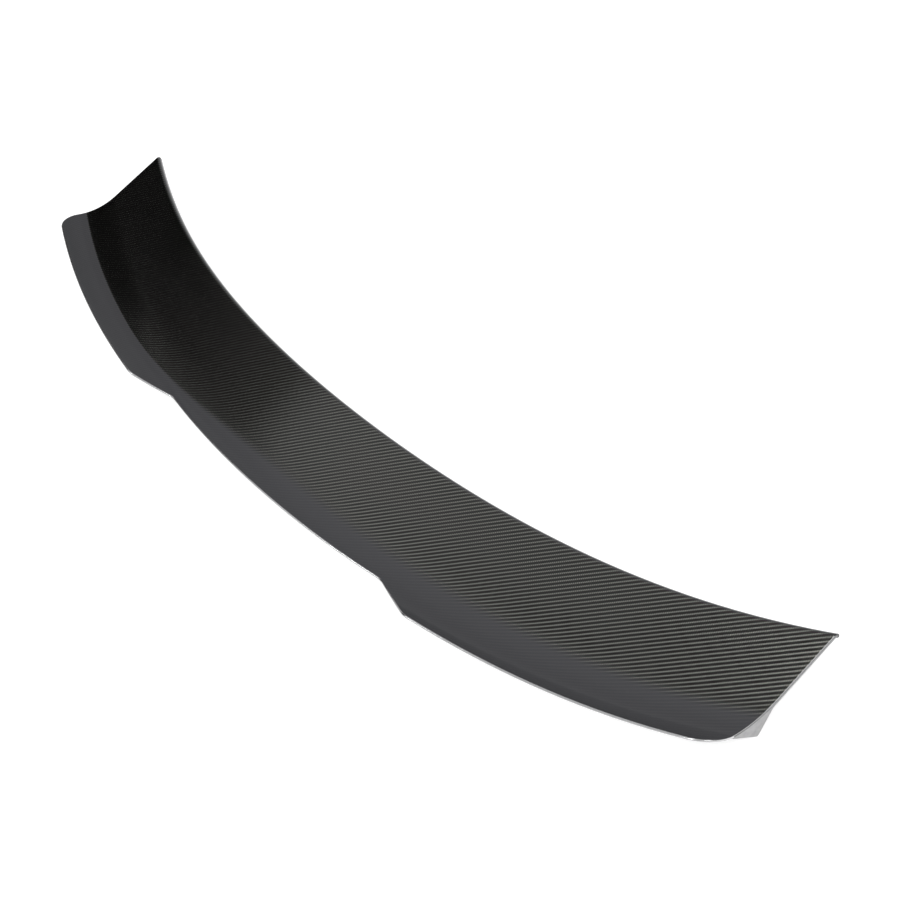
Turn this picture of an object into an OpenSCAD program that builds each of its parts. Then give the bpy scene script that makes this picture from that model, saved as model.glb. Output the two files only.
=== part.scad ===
// Rear spoiler for a car's boot lid: one moulded shell whose rear edge kicks up.
// X runs across the car, Y forwards and Z up. The deck lies over the lid, the kick
// rises behind it, and a rear wall hangs from the kick down to the foot.
// A place in the section is given by its distance behind the front edge and its height.

/* [Plan] */
// Width from tip to tip
span = 1280; // [1000:10:1500]
// How far the tips run ahead of the middle of the front edge
sweep = 126; // [60:1:180]
// Part of that sweep that is gathered near the tips
tip_sweep = 34; // [0:1:60]
// Dip of the deck half way between the middle and each tip
deck_sag = 4; // [0:0.5:10]

/* [Deck and kick] */
// Flat part of the deck, from the front edge to the start of the kick
deck_length = 90; // [80:1:110]
// Fall of the deck towards the rear, in degrees
deck_fall = 6; // [2:0.5:9]
// Radius of the hollow that turns the deck up into the kick
kick_radius = 100; // [92:1:160]
// Distance from the front edge to the rear edge, just outside the steps
outer_reach = 174; // [160:1:182]
// How much further the rear edge reaches at the ends than beside the steps
end_growth = 3; // [0:0.5:6]
// Distance from the front edge to the rear edge in the middle
middle_reach = 153; // [146:1:158]
// How much less the rear edge reaches beside the steps than in the middle
middle_crown = 4; // [0:0.5:6]
// Radius of the rounded rear corner at each end
corner_radius = 24; // [14:1:40]

/* [Steps in the rear edge] */
// Distance of each step's inner end from the middle
step_inner = 218; // [160:1:250]
// Distance of each step's outer end from the middle
step_outer = 286; // [270:1:340]
// Half length of the bend at each end of a step
step_bend = 7; // [3:0.5:12]

/* [Walls] */
// Thickness of the shell
skin = 3; // [2:0.1:4]
// Radius of the rolled front edge
front_roll = 6; // [4.5:0.5:8]
// Height of the rim round the deck, down from its top face
rim_height = 10; // [9.5:0.5:14]
// How far the walls at the ends stand in from the edge of the deck
end_inset = 1.5; // [0.8:0.1:3]
// Lean of the inner face of each end wall
end_draft = 2; // [0.5:0.5:4]

/* [Rear wall and foot] */
// Height of the front edge above the foot
front_height = 41.5; // [36:0.5:50]
// Distance from the front edge to the rear face of the foot
foot_back = 123; // [112:0.5:126]
// How far the kick overhangs the rear wall
overhang = 20; // [14:0.5:22]
// How far the rear wall is hollowed between the foot and the kick
wall_hollow = 3.5; // [0:0.5:6]
// Slope of the end wall's lower edge in front of the foot, in degrees
heel_angle = 40; // [25:1:55]

/* [Mesh] */
// Points along the hollow of the kick
kick_points = 10; // [5:1:12]
// Points along each face of the rear wall
wall_points = 4; // [3:1:8]

/* [Hidden] */

half_span = span / 2;

// Break of the foot's two edges
foot_break = 0.8;
// Draft of each end wall's outer face
outer_draft = 0.4;
// Least overhang of the kick over the rear wall, left at the rounded corners
least_overhang = 1.8;
// Where the roll ends on the bare skin, in degrees from the deck
roll_end = 92;
// Distance between the points that gather at the inner edge of an end wall's foot
gather = 0.25;

// Kinds of section along the span
HOLLOW = 0;
END_WALL = 1;
BARE_SKIN = 2;

function spread(a, b, n) = [for (i = [0:n - 1]) a + (b - a) * i / n];
function blend(a, b, t) = a + (b - a) * t;

// Smooth passage from 0 to 1 between two values, straight but for its two bends
function ramp(x, a, b, bend) =
    let (run = b - a, m = min(bend, run / 2))
    x <= a - m ? 0
    : x >= b + m ? 1
    : x < a + m ? pow(x - a + m, 2) / (4 * m * run)
    : x > b - m ? 1 - pow(b + m - x, 2) / (4 * m * run)
    : (x - a) / run;

// Front edge in plan, and the dip of the deck
function front_y(x) =
    let (u = x / half_span) (sweep - tip_sweep) * pow(u, 2) + tip_sweep * pow(u, 4);
function dip(x) =
    let (u = x / half_span) -4 * deck_sag * (pow(u, 2) - pow(u, 4));

// Rear edge: stepped in towards the middle and rounded at the ends
function stepped_reach(x) =
    let (a = abs(x),
         inner = middle_reach - middle_crown * pow(min(a, step_inner) / step_inner, 2),
         outer = outer_reach + end_growth * pow(a / half_span, 2))
    blend(inner, outer, ramp(a, step_inner, step_outer, step_bend));
function corner_loss(x) =
    let (into = abs(x) - (half_span - corner_radius))
    into <= 0 ? 0
    : corner_radius - sqrt(max(0, pow(corner_radius, 2) - pow(into, 2)));
function reach(x) = stepped_reach(x) - corner_loss(x);

// Hollow of the kick: its axis, behind and above the deck
hollow_q = deck_length + kick_radius * sin(deck_fall);
hollow_z = -deck_length * tan(deck_fall) + kick_radius * cos(deck_fall);

// Height of the shell at a distance behind the front edge and a depth in the wall
function shell_z(q, depth) =
    q < deck_length + depth * sin(deck_fall)
    ? -q * tan(deck_fall) - depth / cos(deck_fall)
    : hollow_z - sqrt(pow(kick_radius + depth, 2) - pow(q - hollow_q, 2));

// Rolled front edge, from the rim's foot (a = 90) to the deck (a = 0)
roll_z = shell_z(front_roll, 0) - front_roll;
function roll_point(r, a) = [front_roll - r * sin(a), roll_z + r * cos(a)];
roll_steps = [90, 60, 30];

// Rounded rear edge of the kick
function edge_q(x) = reach(x) - skin / 2;
function edge_slope(x) = asin((edge_q(x) - hollow_q) / (kick_radius + skin / 2));
function edge_point(x, b) =
    let (a = edge_slope(x), q = edge_q(x), r = skin / 2)
    [q + r * (sin(b) * cos(a) - cos(b) * sin(a)),
     shell_z(q, r) + r * (cos(b) * cos(a) + sin(b) * sin(a))];
edge_steps = [0, 45, 90, 135, 180];

// Rear wall: a hollowed sheet from the kick's underside to the foot
function wall_top_q(x) =
    min(stepped_reach(x) - overhang, reach(x) - least_overhang - skin / 2);
function hollowed(top, low, t) =
    [blend(top[0], low[0], t) - wall_hollow * 4 * t * (1 - t), blend(top[1], low[1], t)];

// The closed section in runs of points, going round from the front edge over the top.
// Heights count from the top of the front edge; foot is the height of the floor there.
function top_points(x) =
    let (q1 = edge_point(x, 0)[0])
    [for (q = concat(spread(front_roll, deck_length, 3), spread(deck_length, q1, kick_points)))
        [q, shell_z(q, 0)]];
function edge_points(x) = [for (b = edge_steps) edge_point(x, b)];
function lip_points(x) =
    let (q = blend(edge_point(x, 180)[0], wall_top_q(x), 1 / 2)) [[q, shell_z(q, skin)]];
function wall_points_outside(x, foot) =
    let (q = wall_top_q(x), top = [q, shell_z(q, skin)], low = [foot_back, foot + foot_break])
    [for (i = [0:wall_points]) hollowed(top, low, i / wall_points)];
function sole_points(foot) =
    [[foot_back - foot_break, foot], [foot_back - skin + foot_break, foot]];

// Inside of the hollow part: up the rear wall, then forwards under the kick and the deck
function inside_top_q(x) = wall_top_q(x) - skin * 1.3;
function wall_points_inside(x, foot) =
    let (q = inside_top_q(x), top = [q, shell_z(q, skin)],
         low = [foot_back - skin, foot + foot_break])
    [for (i = [0:wall_points]) hollowed(top, low, 1 - i / wall_points)];
function under_points(x) =
    let (q0 = inside_top_q(x))
    [for (q = concat([for (i = [1:kick_points]) blend(q0, deck_length, i / kick_points)],
                     [for (i = [1:3]) blend(deck_length, front_roll, i / 3)]))
        [q, shell_z(q, skin)]];
function inside_points(x, foot) = concat(wall_points_inside(x, foot), under_points(x));

// Front rim: its inner face, its foot, and the outside of the roll
rim_z = shell_z(0, rim_height);
roll_outside = [for (a = roll_steps) roll_point(front_roll, a)];
rim_inside = concat([for (a = [30, 60, 90]) roll_point(front_roll - skin, a)],
                    [[skin, rim_z], [0, rim_z]]);
// Under the end wall the same points lie along its lower edge
rim_closed = [for (i = [4:-1:0]) [skin * i / 4, rim_z]];
// Past the end wall they lie on the bare skin
rim_bare = concat([for (a = [30, 60, 90, roll_end]) roll_point(front_roll - skin, a)],
                  [roll_point(front_roll, roll_end)]);

// Lower edge of an end wall: the heel's slope in front of the foot, then along the rim
function end_low_z(q, foot) =
    min(shell_z(q, rim_height), foot + foot_break + (foot_back - skin - q) * tan(heel_angle));
function end_low_points(inside, foot) =
    [for (i = [0:len(inside) - 1])
        let (q = min(inside[i][0], foot_back - skin - gather * (i + 1)))
        [q, end_low_z(q, foot)]];
// Past the end wall only the skin is left, and the lower points move up to it
function onto_skin(points) = [for (p = points) [p[0], shell_z(p[0], skin)]];

function section(x, kind) =
    let (foot = -front_height - dip(x),
         over = concat(top_points(x), edge_points(x), lip_points(x)),
         behind = concat(wall_points_outside(x, foot), sole_points(foot)),
         inside = inside_points(x, foot),
         low_edge = end_low_points(inside, foot))
    kind == HOLLOW ? concat(over, behind, inside, rim_inside, roll_outside)
    : kind == END_WALL ? concat(over, behind, low_edge, rim_closed, roll_outside)
    : concat(over, onto_skin(behind), onto_skin(low_edge), rim_bare, roll_outside);

// Stations from the middle to one end, closer together at the bends and the corner
end_depth = end_inset + outer_draft + skin + end_draft;
corner_x = half_span - corner_radius;
half_stations = concat(
    [for (x = spread(0, step_inner - step_bend, 7)) [x, HOLLOW]],
    [for (x = spread(step_inner - step_bend, step_inner + step_bend, 3)) [x, HOLLOW]],
    [for (x = spread(step_inner + step_bend, step_outer - step_bend, 2)) [x, HOLLOW]],
    [for (x = spread(step_outer - step_bend, step_outer + step_bend, 3)) [x, HOLLOW]],
    [for (x = spread(step_outer + step_bend, corner_x, 11)) [x, HOLLOW]],
    [for (a = [0, 20, 40, 60, 90]) [corner_x + (corner_radius - end_depth) * sin(a), HOLLOW]],
    [[half_span - end_depth + end_draft, END_WALL],
     [half_span - end_inset - outer_draft, END_WALL],
     [half_span - end_inset, BARE_SKIN],
     [half_span - end_inset / 4, BARE_SKIN],
     [half_span, BARE_SKIN]]);
last = len(half_stations) - 1;
stations = concat(
    [for (i = [last:-1:1]) [-half_stations[i][0], half_stations[i][1]]],
    half_stations);

// The part lies centred on the origin in plan, and its foot stands at zero
rear_y = min([for (s = stations) front_y(s[0]) - reach(s[0])]);
centre_y = (front_y(half_span) + rear_y) / 2;

function placed(x, p) =
    [x, front_y(x) - p[0] - centre_y, front_height + dip(x) + p[1]];

// The end of the skin, closed by triangles between its top and its underside. Both runs of
// points go from the front to the rear, and the shorter way across is taken each time.
function tail(list) = [for (i = [1:len(list) - 1]) list[i]];
function across(points, a, b) = norm(points[a] - points[b]);
function zipped(points, upper, lower) =
    len(upper) == 1 && len(lower) == 1 ? []
    : len(lower) == 1 || (len(upper) > 1
        && across(points, upper[1], lower[0]) <= across(points, upper[0], lower[1]))
    ? concat([[lower[0], upper[0], upper[1]]], zipped(points, tail(upper), lower))
    : concat([[lower[0], upper[0], lower[1]]], zipped(points, upper, tail(lower)));

// A closed shell through all the sections; its ends are split at the rear edge's middle
module loft(sections) {
    n = len(sections[0]);
    rows = len(sections);
    turn_point = len(top_points(half_span)) + floor(len(edge_steps) / 2);
    front_point = n - len(roll_steps) - 1;
    upper = concat([for (j = [front_point:n - 1]) j], [for (j = [0:turn_point]) j]);
    lower = [for (j = [front_point - 1:-1:turn_point + 1]) j];
    end = zipped(sections[rows - 1], upper, lower);
    points = [for (s = sections) each s];
    sides = [for (i = [0:rows - 2], j = [0:n - 1])
        let (a = i * n + j, b = i * n + (j + 1) % n)
        each [[a, b + n, b], [a, a + n, b + n]]];
    last_end = [for (f = end) [for (j = [2:-1:0]) (rows - 1) * n + f[j]]];
    polyhedron(points = points, faces = concat(end, last_end, sides), convexity = 8);
}

module spoiler() {
    color([0.09, 0.09, 0.1])
        loft([for (s = stations) [for (p = section(s[0], s[1])) placed(s[0], p)]]);
}

spoiler();
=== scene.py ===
"""Rear spoiler for a car's boot lid: black twill cloth under a gloss clear coat, on a pale bare laminate."""

import math

import bmesh
import bpy
from mathutils import Matrix, Vector


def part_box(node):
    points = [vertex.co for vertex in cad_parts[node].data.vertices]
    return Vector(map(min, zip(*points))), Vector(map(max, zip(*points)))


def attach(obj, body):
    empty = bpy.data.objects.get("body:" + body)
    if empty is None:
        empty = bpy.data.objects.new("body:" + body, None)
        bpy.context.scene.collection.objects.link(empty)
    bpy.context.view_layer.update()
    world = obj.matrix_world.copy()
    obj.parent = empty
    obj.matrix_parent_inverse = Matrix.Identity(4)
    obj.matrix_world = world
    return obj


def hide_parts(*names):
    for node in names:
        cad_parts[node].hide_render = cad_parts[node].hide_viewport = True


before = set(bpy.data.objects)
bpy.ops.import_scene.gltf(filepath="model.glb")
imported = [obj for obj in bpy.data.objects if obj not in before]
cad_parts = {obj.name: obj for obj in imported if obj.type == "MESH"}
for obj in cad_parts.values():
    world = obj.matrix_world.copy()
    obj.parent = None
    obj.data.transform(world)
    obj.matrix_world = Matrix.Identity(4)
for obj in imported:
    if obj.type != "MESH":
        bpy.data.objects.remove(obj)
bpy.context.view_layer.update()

MM = 0.001

# The spoiler's own sizes, as in its CAD source
HALF_SPAN = 640 * MM
SWEEP = 126 * MM
TIP_SWEEP = 34 * MM
DECK_SAG = 4 * MM
DECK_LENGTH = 90 * MM
DECK_FALL = math.radians(6)
KICK_RADIUS = 100 * MM
OUTER_REACH = 174 * MM
END_GROWTH = 3 * MM
MIDDLE_REACH = 153 * MM
MIDDLE_CROWN = 4 * MM
CORNER_RADIUS = 24 * MM
STEP_INNER = 218 * MM
STEP_OUTER = 286 * MM
STEP_BEND = 7 * MM
SKIN = 3 * MM
FRONT_ROLL = 6 * MM
RIM_HEIGHT = 10 * MM
END_INSET = 1.5 * MM
FRONT_HEIGHT = 41.5 * MM
FOOT_BACK = 123 * MM
OVERHANG = 20 * MM
WALL_HOLLOW = 3.5 * MM
HEEL_ANGLE = math.radians(40)
FOOT_BREAK = 0.8 * MM
LEAST_OVERHANG = 1.8 * MM

# Finishes that are too fine for the CAD source: rounded edges, and where the painted highlight on them begins
EDGE_ROUND = 0.5 * MM
LIP_ROUND = SKIN * 0.48
END_PAINTED_HIGHLIGHT = 0.48 * MM
LIP_PAINTED_HIGHLIGHT = 0.3 * MM
SMOOTH_BELOW = math.radians(35)

# Depths below the skin's outer face at which the walls end inside the skin
REAR_WALL_DEPTH = SKIN * 0.6
LEAST_DEPTH = SKIN * 0.4
END_WALL_DEPTH = SKIN * 0.8

# Points are taken to be in one place when they are this near to each other. A column of points
# is known by its distance from the middle, to a hundredth of a millimetre
SAME = 0.001 * MM
NEAR = 0.01 * MM
COLUMN = 0.006 * MM

# The cloth: one tow of the twill, and how many tows make its repeat
TOW = 1.64 * MM
REPEAT = 4
# Sine of the steepest slope that the cloth is laid out on
STEEPEST = 0.99

# A painted even shine hides the cloth on the kick: a plain grey colour that stands in for its reflection. On
# the left its edge lies this far behind the front edge, and this soft. From left to right between the two
# places, it comes forwards and grows softer by these lengths
SHINE_BACK = 140 * MM
SHINE_SOFTNESS = 3 * MM
SHINE_LEFT = -380 * MM
SHINE_RIGHT = 20 * MM
SHINE_ADVANCE = 27 * MM
SHINE_SPREAD = 16 * MM
# The same painted shine on the roll ends between these two places behind the front edge
ROLL_SHINE = (2 * MM, 7 * MM)

# The material slots of the skin, after the first, which is the cloth's; the last is the painted highlight on
# the rounded edges
LAMINATE, RESIN, PAINTED_HIGHLIGHT = 1, 2, 3

# The hollow of the kick turns about this line, behind and above the front edge
HOLLOW_BACK = DECK_LENGTH + KICK_RADIUS * math.sin(DECK_FALL)
HOLLOW_UP = -DECK_LENGTH * math.tan(DECK_FALL) + KICK_RADIUS * math.cos(DECK_FALL)


def sweep(x):
    """How far the front edge runs forwards of its middle."""
    u = x / HALF_SPAN
    return (SWEEP - TIP_SWEEP) * u**2 + TIP_SWEEP * u**4


def dip(x):
    """The sag of the deck between its middle and its ends."""
    u = x / HALF_SPAN
    return -4 * DECK_SAG * (u**2 - u**4)


# The front edge's middle stands here; the CAD box is centred on the origin
FRONT_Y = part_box("spoiler")[1].y - sweep(HALF_SPAN)


class Paint:
    """A node tree of a material or of the world, built from expressions."""

    def __init__(self, name, kind="materials"):
        self.owner = getattr(bpy.data, kind).new(name)
        self.owner.use_nodes = True
        self.nodes = self.owner.node_tree.nodes
        self.links = self.owner.node_tree.links
        self.nodes.clear()

    def node(self, kind, settings=None, **inputs):
        """One node of this type: its settings first, then its sockets' values or links."""
        made = self.nodes.new(kind)
        for key, value in (settings or {}).items():
            setattr(made, key, value)
        for key, value in inputs.items():
            index = int(key[1:]) if key[0] == "n" and key[1:].isdigit() else key.replace("_", " ")
            socket = made.inputs[index]
            if isinstance(value, Value):
                self.links.new(value.socket, socket)
            else:
                socket.default_value = value
        return made

    def value(self, kind, settings=None, output=0, **inputs):
        return Value(self, self.node(kind, settings, **inputs).outputs[output])

    def place(self):
        """Where a point lies on the piece."""
        return self.value("ShaderNodeTexCoord", output="Object")

    def parts(self, vector):
        """The three components of a vector socket."""
        apart = self.node("ShaderNodeSeparateXYZ")
        self.links.new(vector.socket, apart.inputs[0])
        return [Value(self, socket) for socket in apart.outputs]

    def surface(self, shader, kind="ShaderNodeOutputMaterial"):
        out = self.node(kind)
        self.links.new(shader.socket, out.inputs["Surface"])
        return self.owner


class Value:
    """A socket that takes part in expressions."""

    def __init__(self, paint, socket):
        self.paint = paint
        self.socket = socket

    def math(self, operation, *others):
        values = {"n%d" % i: v for i, v in enumerate((self, *others))}
        return self.paint.value("ShaderNodeMath", {"operation": operation}, **values)

    def __add__(self, other):
        return self.math("ADD", other)

    def __radd__(self, other):
        return self.math("ADD", other)

    def __sub__(self, other):
        return self.math("SUBTRACT", other)

    def __rsub__(self, other):
        return self.paint.value("ShaderNodeMath", {"operation": "SUBTRACT"}, n0=other, n1=self)

    def __mul__(self, other):
        return self.math("MULTIPLY", other)

    def __rmul__(self, other):
        return self.math("MULTIPLY", other)

    def __truediv__(self, other):
        return self.math("DIVIDE", other)

    def __mod__(self, other):
        return self.math("FLOORED_MODULO", other)

    def __pow__(self, other):
        return self.math("POWER", other)

    def __lt__(self, other):
        return self.math("LESS_THAN", other)

    def floor(self):
        return self.math("FLOOR")

    def least(self, other):
        return self.math("MINIMUM", other)

    def most(self, other):
        return self.math("MAXIMUM", other)

    def ramp(self, low, high):
        """0 below low, 1 above high, and smooth between."""
        return self.paint.value(
            "ShaderNodeMapRange",
            {"interpolation_type": "SMOOTHSTEP", "clamp": True},
            Value=self, From_Min=low, From_Max=high, To_Min=0.0, To_Max=1.0)

    def mix(self, low, high):
        """low where this is 0, high where it is 1; both are colours."""
        settings = {"data_type": "RGBA", "blend_type": "MIX", "clamp_factor": True}
        return self.paint.value("ShaderNodeMix", settings, output=2, n0=self, n6=low, n7=high)


def cloth_place(paint):
    """Where a point lies on the cloth, across the car and forwards, in tows, and how far it stands behind the
    front edge. The cloth follows the hollow of the kick."""
    x, y, _ = paint.parts(paint.place())
    u2 = (x * (1 / HALF_SPAN)) ** 2
    front = u2 * (SWEEP - TIP_SWEEP) + u2 * u2 * TIP_SWEEP + FRONT_Y
    back = front - y
    turn = ((back - HOLLOW_BACK) / KICK_RADIUS).least(STEEPEST).most(-math.sin(DECK_FALL))
    turned = turn.math("ARCSINE") + DECK_FALL
    forwards = (front - back.least(DECK_LENGTH)) / math.cos(DECK_FALL) - turned * KICK_RADIUS
    return x / TOW, forwards / TOW, back


def woven_cloth():
    """Twill: each tow passes over two and under two, one step further in each row."""
    paint = Paint("twill_under_clear_coat")
    across, forwards, back = cloth_place(paint)
    column, row = across.floor(), forwards.floor()
    lengthwise = ((column - row) % REPEAT) < REPEAT / 2
    crosswise = 1 - lengthwise

    # Place on the float that lies on top: along it from -1 to 1, and across it from -1 to 1
    along_column = ((forwards - column + 1) % REPEAT) - 1
    along_row = ((across - row - 2) % REPEAT) - 1
    over_column = (across - column) * 2 - 1
    over_row = (forwards - row) * 2 - 1
    along = along_column * lengthwise + along_row * crosswise
    over = over_column * lengthwise + over_row * crosswise
    dome = (1 - over * over * 0.95) * (1 - along * along * 0.6)

    # Painted sheen on a real twill: the tows that run lengthwise are painted bright, brightest on their
    # crowns, and those across keep a trace of that painted sheen
    painted_crosswise_sheen = 0.12
    weave_with_painted_sheen = dome * dome * (lengthwise * (1 - painted_crosswise_sheen) + painted_crosswise_sheen)
    painted_sheen = weave_with_painted_sheen.mix((0.009, 0.009, 0.009, 1), (0.3, 0.3, 0.275, 1))
    painted_even_shine = weave_with_painted_sheen.mix((0.06, 0.06, 0.0645, 1), (0.078, 0.078, 0.081, 1))

    # The painted even shine, a plain grey colour in place of the reflection, takes the kick behind its edge,
    # the roll, and all that stands steeply
    rightwards = across.ramp(SHINE_LEFT / TOW, SHINE_RIGHT / TOW)
    behind = back - SHINE_BACK + rightwards * SHINE_ADVANCE
    painted_shine_on_kick = (behind / (rightwards * SHINE_SPREAD + SHINE_SOFTNESS)).ramp(-0.5, 0.5)
    painted_shine_on_roll = 1 - back.ramp(*ROLL_SHINE)
    normal = paint.parts(paint.value("ShaderNodeNewGeometry", output="Normal"))
    weave_shows = normal[2].ramp(0.7, 0.88).least(1 - painted_shine_on_kick).least(1 - painted_shine_on_roll)
    metal = weave_shows.most(painted_shine_on_roll)
    bump = paint.value("ShaderNodeBump", Strength=0.25, Distance=0.1 * MM, Height=dome)
    shader = paint.value(
        "ShaderNodeBsdfPrincipled",
        Base_Color=weave_shows.mix(painted_even_shine, painted_sheen),
        Metallic=metal,
        Roughness=0.2,
        Coat_Weight=metal * 0.5 + 0.15,
        Specular_IOR_Level=0.0,
        Coat_Roughness=0.03,
        Normal=bump)
    return paint.surface(shader)


def cut_edge():
    """The end of the skin: resin, without the cloth's pattern."""
    paint = Paint("resin_at_the_cut_ends")
    grain = paint.value("ShaderNodeTexNoise", Vector=paint.place(), Scale=500.0)
    colour = grain.mix((0.008, 0.008, 0.008, 1), (0.016, 0.016, 0.016, 1))
    shader = paint.value("ShaderNodeBsdfPrincipled", Base_Color=colour, Roughness=grain * 0.2 + 0.2)
    return paint.surface(shader)


def painted_highlight_edge():
    """A painted highlight on the rounded edges: pale metal in place of the black cloth, so that they catch
    the light as a bright line.
    """
    paint = Paint("painted_highlight_edge")
    highlight_variation = paint.value("ShaderNodeTexNoise", Vector=paint.place(), Scale=300.0)
    shader = paint.value(
        "ShaderNodeBsdfPrincipled",
        Base_Color=highlight_variation.mix((0.44, 0.44, 0.45, 1), (0.56, 0.56, 0.56, 1)),
        Metallic=1.0,
        Roughness=highlight_variation * 0.16 + 0.12,
        Coat_Weight=1.0)
    return paint.surface(shader)


def bare_laminate():
    """The pale, grainy back of the moulding, which also shows on the end walls."""
    paint = Paint("bare_pale_laminate")
    grain = paint.value("ShaderNodeTexNoise", Vector=paint.place(), Scale=220.0, Detail=4.0)
    shader = paint.value(
        "ShaderNodeBsdfPrincipled",
        Base_Color=grain.ramp(0.3, 0.7).mix((0.52, 0.52, 0.53, 1), (0.62, 0.62, 0.62, 1)),
        Roughness=0.6,
        Normal=paint.value("ShaderNodeBump", Strength=0.2, Distance=0.2 * MM, Height=grain))
    return paint.surface(shader)


def pick(test):
    """In edit mode, selects the points that pass the test, and what lies between them."""
    mesh = bmesh.from_edit_mesh(bpy.context.object.data)
    for point in mesh.verts:
        point.select = test(point.co)
    mesh.select_mode = {"VERT"}
    mesh.select_flush_mode()
    bmesh.update_edit_mesh(bpy.context.object.data)


def pick_faces(test):
    """In edit mode, selects the faces whose centres pass the test."""
    bpy.ops.mesh.select_mode(type="FACE")
    bpy.ops.mesh.select_all(action="DESELECT")
    mesh = bmesh.from_edit_mesh(bpy.context.object.data)
    for face in mesh.faces:
        face.select_set(test(face.calc_center_median()))
    bmesh.update_edit_mesh(bpy.context.object.data)


def round_edges(test, width, segments):
    """In edit mode, rounds the edges whose middles pass the test."""
    mesh = bmesh.from_edit_mesh(bpy.context.object.data)
    bpy.ops.mesh.select_mode(type="EDGE")
    bpy.ops.mesh.select_all(action="DESELECT")
    for edge in mesh.edges:
        edge.select_set(test((edge.verts[0].co + edge.verts[1].co) / 2))
    bmesh.update_edit_mesh(bpy.context.object.data)
    bpy.ops.mesh.bevel(offset=width, segments=segments, affect="EDGES")
    bpy.ops.mesh.select_mode(type="VERT")


def cut(place, normal, **sides):
    """In edit mode, cuts the whole mesh with a plane."""
    bpy.ops.mesh.select_all(action="SELECT")
    bpy.ops.mesh.bisect(plane_co=place, plane_no=normal, **sides)


def draw_out(step):
    """In edit mode, extrudes what is selected."""
    bpy.ops.mesh.extrude_region_move(TRANSFORM_OT_translate={"value": step})


def finish_modifier(piece, kind, **settings):
    """Adds a modifier and applies it."""
    made = piece.modifiers.new(kind.title(), kind)
    for key, value in settings.items():
        setattr(made, key, value)
    bpy.ops.object.modifier_apply(modifier=made.name)


def placed(piece, location, rotation=(0, 0, 0), scale=(1, 1, 1)):
    """Places, turns and scales a piece, and keeps that in its mesh."""
    piece.location, piece.rotation_euler, piece.scale = location, rotation, scale
    bpy.ops.object.transform_apply(location=True, rotation=True, scale=True)


def bend(piece, start, end, angle):
    """Bends the piece about X between two heights; its face at y = 0 keeps its length."""
    heights = [point.co.z for point in piece.data.vertices]
    low, run = min(heights), max(heights) - min(heights)
    finish_modifier(
        piece, "SIMPLE_DEFORM", deform_method="BEND", deform_axis="X",
        angle=angle, limits=((start - low) / run, (end - low) / run))


def dressed(piece, *paints):
    """Gives a piece its materials, slot by slot."""
    for paint in paints:
        piece.data.materials.append(paint)


def bends(low, high, count):
    """Even steps from low to high, without low itself."""
    return [low + (high - low) * i / count for i in range(1, count + 1)]


# Distances from the middle at which the skin has its columns of points
CORNER_X = HALF_SPAN - CORNER_RADIUS
STATIONS = (
    bends(0, STEP_INNER - STEP_BEND, 10)
    + bends(STEP_INNER - STEP_BEND, STEP_INNER + STEP_BEND, 6)
    + bends(STEP_INNER + STEP_BEND, STEP_OUTER - STEP_BEND, 4)
    + bends(STEP_OUTER - STEP_BEND, STEP_OUTER + STEP_BEND, 6)
    + bends(STEP_OUTER + STEP_BEND, CORNER_X, 18)
    + [CORNER_X + CORNER_RADIUS * math.sin(math.radians(a)) for a in (12, 23, 33, 42, 50, 57, 63, 69, 74)]
)
END_WALL_X = HALF_SPAN - END_INSET - SKIN / 2
WALL_STATIONS = [x for x in STATIONS if x < END_WALL_X] + [END_WALL_X]


def columns_at(x):
    """A test for the points that lie this far from the middle, on both halves."""
    return lambda co: abs(abs(co.x) - x) < COLUMN


def columns_of(piece):
    """How far from the middle a piece has points."""
    return sorted({round(abs(point.co.x), 5) for point in piece.data.vertices})


def reach_beside(x):
    """From the front edge to the rear edge, without the rounded corner."""
    inner = MIDDLE_REACH - MIDDLE_CROWN * (min(x, STEP_INNER) / STEP_INNER) ** 2
    outer = OUTER_REACH + END_GROWTH * (x / HALF_SPAN) ** 2
    run = STEP_OUTER - STEP_INNER
    into = x - STEP_INNER
    if into <= -STEP_BEND:
        share = 0
    elif into < STEP_BEND:
        share = (into + STEP_BEND) ** 2 / (4 * STEP_BEND * run)
    elif into <= run - STEP_BEND:
        share = into / run
    elif into < run + STEP_BEND:
        share = 1 - (run + STEP_BEND - into) ** 2 / (4 * STEP_BEND * run)
    else:
        share = 1
    return inner + (outer - inner) * share


def reach(x):
    """From the front edge to the rear edge, with the rounded corner."""
    into = max(0, x - CORNER_X)
    return reach_beside(x) - CORNER_RADIUS + math.sqrt(max(0, CORNER_RADIUS**2 - into**2))


def height_over_front(back, depth):
    """Height over the front edge's top, at a distance behind the front edge and a depth in the skin."""
    if back < DECK_LENGTH + depth * math.sin(DECK_FALL):
        return -back * math.tan(DECK_FALL) - depth / math.cos(DECK_FALL)
    return HOLLOW_UP - math.sqrt((KICK_RADIUS + depth) ** 2 - (back - HOLLOW_BACK) ** 2)


def depth_in_skin(co):
    """How far a point lies below the skin's outer face."""
    return FRONT_HEIGHT + dip(co.x) + height_over_front(FRONT_Y + sweep(co.x) - co.y, 0) - co.z


def kick_length(x):
    """How far the cloth runs up the kick, from the end of the deck to the rear edge."""
    middle = KICK_RADIUS + SKIN / 2
    slope = math.asin((reach(x) - SKIN / 2 - HOLLOW_BACK) / middle)
    return KICK_RADIUS * (slope + DECK_FALL + LIP_ROUND / middle)


def wall_top(x):
    """How far behind the front edge the rear wall meets the underside of the kick."""
    return min(reach_beside(x) - OVERHANG, reach(x) - LEAST_OVERHANG - SKIN / 2)


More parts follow.
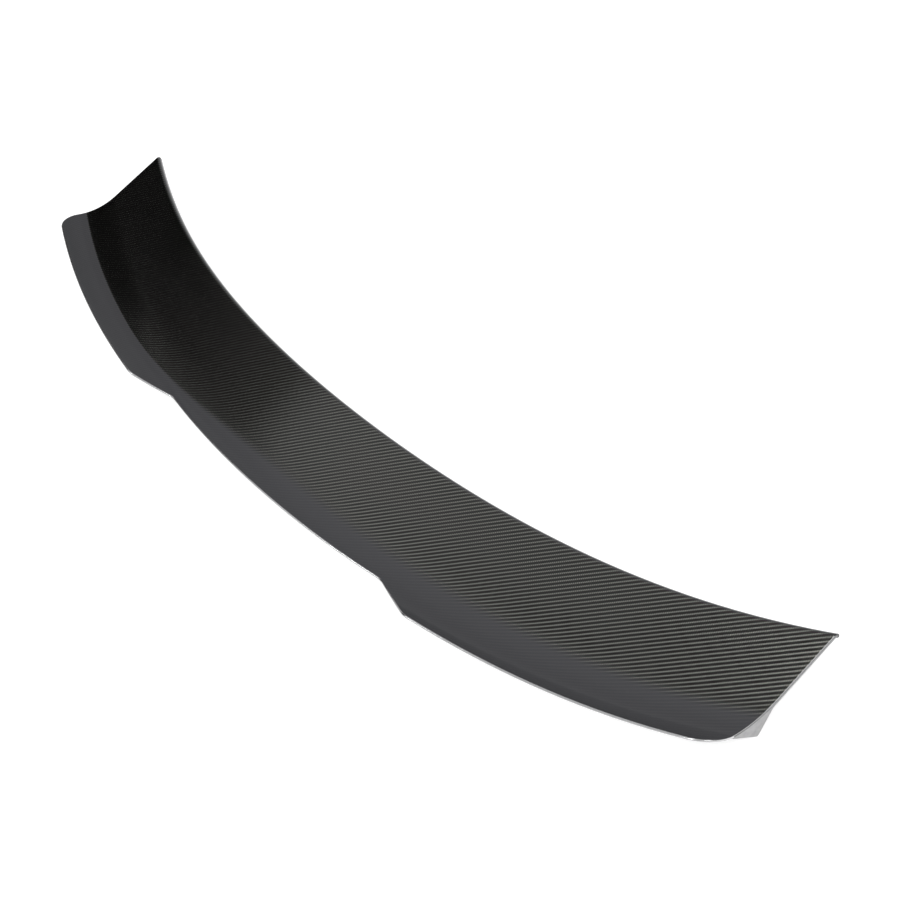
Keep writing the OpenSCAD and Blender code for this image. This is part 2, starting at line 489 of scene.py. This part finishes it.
def skin_of_cloth(*paints):
    """The skin, from the rolled front edge over the deck to the top of the kick. It starts as a flat slab
    on edge, whose outer face stands at y = 0 and whose height is the way along the cloth."""
    fall_sine, fall_slope = math.sin(DECK_FALL), math.tan(DECK_FALL)
    roll_turn = math.pi / 2 + DECK_FALL
    roll = FRONT_ROLL * roll_turn
    rim = RIM_HEIGHT / math.cos(DECK_FALL) - FRONT_ROLL * ((1 + fall_sine) * fall_slope + math.cos(DECK_FALL))
    deck = (DECK_LENGTH - FRONT_ROLL * (1 + fall_sine)) / math.cos(DECK_FALL)
    longest = kick_length(CORNER_X)
    low, high = -roll - rim, deck + longest
    lip = high - SKIN / 2
    bpy.ops.object.select_all(action="DESELECT")
    bpy.ops.mesh.primitive_cube_add(size=1)
    skin = bpy.context.object
    skin.name = "woven_skin"
    placed(skin, (0, -SKIN / 2, (low + high) / 2), scale=(2 * HALF_SPAN, SKIN, high - low))

    # Rounded lip, lower rim and ends, then rows along the cloth and columns across the car
    bpy.ops.object.mode_set(mode="EDIT")
    round_edges(lambda co: co.z > high - SAME and abs(co.x) < SAME, LIP_ROUND, 6)
    round_edges(lambda co: co.z < low + SAME and abs(co.x) < SAME, EDGE_ROUND, 2)
    round_edges(lambda co: abs(co.x) > HALF_SPAN - SAME, EDGE_ROUND, 2)
    rows = [-roll, 0, deck] + bends(-roll, 0, 7) + bends(0, deck, 6) + bends(deck, lip, 20)
    for height in sorted(set(rows)):
        cut((0, 0, height), (0, 0, 1), threshold=SAME)
    for x in STATIONS + [END_WALL_X]:
        cut((x, 0, 0), (1, 0, 0), threshold=SAME)
        cut((-x, 0, 0), (1, 0, 0), threshold=SAME)
    cut((0, 0, 0), (1, 0, 0), threshold=SAME)
    bpy.ops.object.mode_set(mode="OBJECT")
    dressed(skin, *paints)
    for face in skin.data.polygons:
        width, place = abs(face.center.x), face.center
        if width > HALF_SPAN - NEAR:
            face.material_index = RESIN
        elif place.y < -SKIN * 0.95:
            face.material_index = LAMINATE
        # Painted highlight: the rounded lip and the tops of the ends get pale metal
        elif (width > HALF_SPAN - END_PAINTED_HIGHLIGHT and place.z > 0) or place.z > lip + LIP_PAINTED_HIGHLIGHT:
            face.material_index = PAINTED_HIGHLIGHT

    # While flat, the kick is cut back to its rear edge: its rows close up, and its rounded lip follows
    columns = columns_of(skin)
    bpy.ops.object.mode_set(mode="EDIT")
    for x in columns:
        here = columns_at(x)
        left = (kick_length(x) - SKIN / 2) / (longest - SKIN / 2)
        pick(lambda co: here(co) and deck + SAME < co.z < lip + SAME)
        bpy.ops.transform.resize(value=(1, 1, left), center_override=(0, 0, deck))
        pick(lambda co: here(co) and co.z > lip + SAME)
        bpy.ops.transform.translate(value=(0, 0, kick_length(x) - longest))
    bpy.ops.object.mode_set(mode="OBJECT")
    bend(skin, -roll, 0, -roll_turn)
    placed(skin, (0, 0, -deck))
    bend(skin, 0, longest, longest / KICK_RADIUS)
    kick_start = (0, FRONT_Y - DECK_LENGTH, FRONT_HEIGHT - DECK_LENGTH * fall_slope)
    placed(skin, kick_start, rotation=(math.pi / 2 + DECK_FALL, 0, 0))

    # Each column goes forwards with the sweep and down with the sag of the deck
    bpy.ops.object.mode_set(mode="EDIT")
    for x in columns:
        pick(columns_at(x))
        bpy.ops.transform.translate(value=(0, sweep(x), dip(x)))
    bpy.ops.object.mode_set(mode="OBJECT")
    bpy.ops.object.shade_smooth_by_angle(angle=SMOOTH_BELOW)
    return skin


def turn_faces(piece, outwards):
    """All faces of an open sheet look the same way, outwards."""
    bpy.ops.object.mode_set(mode="EDIT")
    bpy.ops.mesh.select_all(action="SELECT")
    bpy.ops.mesh.remove_doubles(threshold=SAME)
    bpy.ops.mesh.normals_make_consistent(inside=False)
    bpy.ops.object.mode_set(mode="OBJECT")
    if sum((face.normal * face.area for face in piece.data.polygons), Vector()).dot(outwards) < 0:
        bpy.ops.object.mode_set(mode="EDIT")
        bpy.ops.mesh.flip_normals()
        bpy.ops.object.mode_set(mode="OBJECT")


def hollow_strip(name, width, height, rows):
    """The middle strip of a wall: it stands on edge from the middle outwards, hollowed between its foot
    and its top, and is left in edit mode."""
    bpy.ops.object.select_all(action="DESELECT")
    centre = (width / 2, 0, height / 2)
    bpy.ops.mesh.primitive_plane_add(size=1, rotation=(math.pi / 2, 0, 0), location=centre)
    strip = bpy.context.object
    strip.name = name
    strip.scale = (width, height, 1)
    bpy.ops.object.transform_apply(location=True, rotation=True, scale=True)
    bpy.ops.object.mode_set(mode="EDIT")
    for row in range(1, rows):
        cut((0, 0, height * row / rows), (0, 0, 1))
    for row in range(1, rows):
        share = row / rows
        pick(lambda co: abs(co.z - height * share) < NEAR)
        bpy.ops.transform.translate(value=(0, WALL_HOLLOW * 4 * share * (1 - share), 0))
    return strip


def rear_wall(*paints):
    """A hollowed wall from the underside of the kick down to the foot."""
    # Every column is stretched to its own height later on
    upright = 40 * MM
    wall = hollow_strip("rear_wall", WALL_STATIONS[0], upright, 8)
    for last, x in zip(WALL_STATIONS, WALL_STATIONS[1:]):
        pick(columns_at(last))
        draw_out((x - last, 0, 0))

    # Each column stands on the foot, and is drawn out and leant back to meet the kick
    for x in [0] + WALL_STATIONS:
        back = wall_top(x) - FOOT_BACK
        top = FRONT_HEIGHT + dip(x) + height_over_front(wall_top(x), REAR_WALL_DEPTH)
        lean = math.atan2(back, top)
        pick(columns_at(x))
        bpy.ops.transform.resize(value=(1, 1, math.hypot(back, top) / upright), center_override=(x, 0, 0))
        bpy.ops.transform.rotate(value=-lean, orient_axis="X", center_override=(x, 0, 0))
        bpy.ops.transform.translate(value=(0, FRONT_Y + sweep(x) - FOOT_BACK, 0))
    bpy.ops.object.mode_set(mode="OBJECT")
    finish_modifier(
        wall, "MIRROR", use_axis=(True, False, False), use_mirror_merge=True, merge_threshold=NEAR)
    turn_faces(wall, Vector((0, -1, 0)))
    dressed(wall, *paints)
    finish_modifier(
        wall, "SOLIDIFY", thickness=SKIN, offset=-1, use_even_offset=True, use_quality_normals=True,
        material_offset=1)

    # The foot is cut level, and the thick wall's top stays inside the skin
    bpy.ops.object.mode_set(mode="EDIT")
    cut((0, 0, 0), (0, 0, -1), clear_outer=True, use_fill=True)
    pick(lambda co: depth_in_skin(co) < LEAST_DEPTH)
    bpy.ops.transform.translate(value=(0, 0, -SKIN * 0.7))
    bpy.ops.object.mode_set(mode="OBJECT")
    bpy.ops.object.shade_smooth_by_angle(angle=SMOOTH_BELOW)
    return wall


def line_of(piece, name, test):
    """A copy of the edges between the points of a piece that pass the test, as a piece of its own."""
    bpy.ops.object.select_all(action="DESELECT")
    piece.select_set(True)
    bpy.context.view_layer.objects.active = piece
    bpy.ops.object.mode_set(mode="EDIT")
    pick(test)
    bpy.ops.mesh.duplicate()
    bpy.ops.mesh.separate(type="SELECTED")
    bpy.ops.object.mode_set(mode="OBJECT")
    line = next(o for o in bpy.context.selected_objects if o != piece)
    bpy.ops.object.select_all(action="DESELECT")
    line.select_set(True)
    bpy.context.view_layer.objects.active = line
    line.name = name
    line.data.materials.clear()
    return line


def end_wall(skin, side, paint):
    """The wall at one end: it hangs from the skin, and its lower edge follows the rim, then the heel."""
    front = FRONT_Y + sweep(END_WALL_X)
    behind_the_rim = front - SKIN * 1.02
    name = "end_wall_right" if side > 0 else "end_wall_left"
    wall = line_of(skin, name, lambda co: abs(co.x - side * END_WALL_X) < NEAR
                   and co.y < behind_the_rim and depth_in_skin(co) > END_WALL_DEPTH)

    # The line under the skin moves into the skin, at the front and all along, and is drawn down
    bpy.ops.object.mode_set(mode="EDIT")
    foremost = max(point.co.y for point in wall.data.vertices)
    pick(lambda co: co.y > foremost - SAME)
    bpy.ops.transform.translate(value=(0, front - END_WALL_DEPTH - foremost, 0))
    bpy.ops.mesh.select_all(action="SELECT")
    bpy.ops.transform.translate(value=(0, 0, SKIN - END_WALL_DEPTH))
    draw_out((0, 0, -2 * FRONT_HEIGHT))

    # The back follows the rear wall's slope. The rim's line and the heel's slope meet below
    top = FRONT_HEIGHT + dip(END_WALL_X)
    foot = front - FOOT_BACK
    heel = foot + SKIN
    rim_height = top - RIM_HEIGHT
    fall_slope, heel_slope = math.tan(DECK_FALL), math.tan(HEEL_ANGLE)
    meet = (rim_height - FOOT_BREAK - (front - heel) * fall_slope) / (heel_slope - fall_slope)
    back_y = front - wall_top(END_WALL_X)
    back_z = top + height_over_front(wall_top(END_WALL_X), SKIN)
    cut((0, foot, 0), (0, -back_z, back_y - foot), clear_outer=True)
    cut((0, 0, 0), (0, 0, -1), clear_outer=True)
    cut((0, heel + meet, 0), (0, 1, 0))
    cut((0, front, rim_height), (0, math.sin(DECK_FALL), -math.cos(DECK_FALL)))
    cut((0, heel, FOOT_BREAK), (0, math.sin(HEEL_ANGLE), -math.cos(HEEL_ANGLE)))

    def below(centre):
        along_rim = rim_height - (front - centre.y) * fall_slope
        along_heel = FOOT_BREAK + (centre.y - heel) * heel_slope
        return centre.z < min(along_rim, along_heel)

    pick_faces(below)
    bpy.ops.mesh.delete(type="FACE")
    bpy.ops.mesh.select_mode(type="VERT")
    bpy.ops.object.mode_set(mode="OBJECT")
    finish_modifier(wall, "SOLIDIFY", thickness=SKIN, offset=0)
    bpy.ops.object.mode_set(mode="EDIT")
    bpy.ops.mesh.select_all(action="SELECT")
    bpy.ops.mesh.normals_make_consistent(inside=False)
    bpy.ops.object.mode_set(mode="OBJECT")
    finish_modifier(
        wall, "BEVEL", width=EDGE_ROUND, segments=2, limit_method="ANGLE", angle_limit=math.radians(60))
    bpy.ops.object.shade_smooth_by_angle(angle=SMOOTH_BELOW)
    dressed(wall, paint)
    return wall


cloth, laminate = woven_cloth(), bare_laminate()
skin = skin_of_cloth(cloth, laminate, cut_edge(), painted_highlight_edge())
walls = [rear_wall(cloth, laminate), end_wall(skin, 1, laminate), end_wall(skin, -1, laminate)]
for piece in (skin, *walls):
    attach(piece, "root")
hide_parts("spoiler")


def pale_floor():
    """A round floor with an upright rim, white to the eye and in reflections."""
    below_the_foot = 0.1 * MM
    rim_height = 3.2
    bpy.ops.object.select_all(action="DESELECT")
    bpy.ops.mesh.primitive_circle_add(
        vertices=96, radius=7, fill_type="NGON", location=(0, 0, -below_the_foot))
    floor = bpy.context.object
    floor.name = "floor"
    bpy.ops.object.mode_set(mode="EDIT")
    bpy.ops.mesh.select_all(action="SELECT")
    bpy.ops.mesh.region_to_loop()
    draw_out((0, 0, rim_height))
    bpy.ops.object.mode_set(mode="OBJECT")
    paint = Paint("pale_floor")
    ray = paint.node("ShaderNodeLightPath")
    eye, shine, glass = [Value(paint, ray.outputs["Is %s Ray" % kind])
                         for kind in ("Camera", "Glossy", "Transmission")]
    # In reflections the rim grows darker upwards
    height = paint.parts(paint.place())[2]
    seen = eye.most(glass).most(shine * (1 - height.ramp(0, 1.5) * 0.6))
    lit = paint.value(
        "ShaderNodeBsdfPrincipled", Base_Color=(0.6, 0.6, 0.6, 1), Roughness=1.0,
        Emission_Color=seen, Emission_Strength=0.7)
    dressed(floor, paint.surface(lit))


def lamp(name, place, target, side, power):
    """A square lamp that points at its target."""
    data = bpy.data.lights.new(name, "AREA")
    data.shape = "RECTANGLE"
    data.size = data.size_y = side
    data.energy = power
    made = bpy.data.objects.new(name, data)
    made.location = place
    made.rotation_euler = (Vector(target) - Vector(place)).to_track_quat("-Z", "Y").to_euler()
    made.visible_camera = False
    bpy.context.scene.collection.objects.link(made)


def black_flag():
    """A black flag that only reflections see: it darkens the foot of the kick at the far end."""
    bpy.ops.object.select_all(action="DESELECT")
    bpy.ops.mesh.primitive_plane_add(size=1)
    flag = bpy.context.object
    flag.name = "flag"
    placed(flag, (-0.8, 0.19, 0.26), scale=(0.36, 0.32, 1))
    for kind in ("camera", "shadow", "diffuse", "transmission"):
        setattr(flag, "visible_" + kind, False)
    paint = Paint("black_flag")
    matt = paint.value("ShaderNodeBsdfPrincipled", Base_Color=(0.01, 0.01, 0.01, 1), Roughness=1.0)
    dressed(flag, paint.surface(matt))


def studio_walls():
    """The studio round the object: bright overhead, dim on the left, and all white to the eye."""
    studio = Paint("studio", "worlds")
    x, y, _ = studio.parts(studio.value("ShaderNodeTexCoord", output="Generated"))
    # Overhead light ends on the left, where the dim side begins
    lean = x - y * 0.05
    bright = lean.ramp(-0.72, -0.67) * (0.87 - lean.ramp(-0.66, -0.48) * 0.16)
    dim = (x.ramp(-0.84, -0.7) * 0.04 + 0.02) * (1 - y.ramp(0.46, 0.56) * 0.9)
    eye = Value(studio, studio.node("ShaderNodeLightPath").outputs["Is Camera Ray"])
    light = studio.value("ShaderNodeBackground", Color=bright.most(dim).most(eye), Strength=1.0)
    bpy.context.scene.world = studio.surface(light, "ShaderNodeOutputWorld")


def viewpoint():
    """The photograph's viewpoint: its right, its up and its line of sight, and its place as seen from the
    middle of the front edge, in half spans."""
    data = bpy.data.cameras.new("camera")
    data.lens = 60
    data.sensor_width = 36
    data.clip_start = 0.05
    camera = bpy.data.objects.new("camera", data)
    bpy.context.scene.collection.objects.link(camera)
    right = Vector((0.6374, 0.7245, -0.2624))
    up = Vector((-0.4833, 0.6412, 0.5961))
    sight = Vector((-0.6001, 0.2531, -0.7588))
    away = Vector((1.8661, -0.637, 2.0687)) * HALF_SPAN
    middle = Vector((0, FRONT_Y - 1.84 * MM, FRONT_HEIGHT))
    turn = Matrix((right, up, -sight)).transposed().to_4x4()
    camera.matrix_world = Matrix.Translation(away + middle) @ turn
    return camera


pale_floor()
lamp("key", (1.2, -1.8, 2.6), (0, 0, 0), 0.8, 25)
lamp("top", (0.2, 0.6, 2.4), (0.3, 0, 0), 0.6, 5)
lamp("side", (2.35, 1.0, 2.3), (0.6, 0, 0), 0.8, 20)
lamp("rear", (-1.0, -1.5, 1.8), (0.2, 0, 0), 0.5, 6)
black_flag()
studio_walls()
bpy.context.scene.camera = viewpoint()
bpy.context.scene.view_settings.view_transform = "Standard"
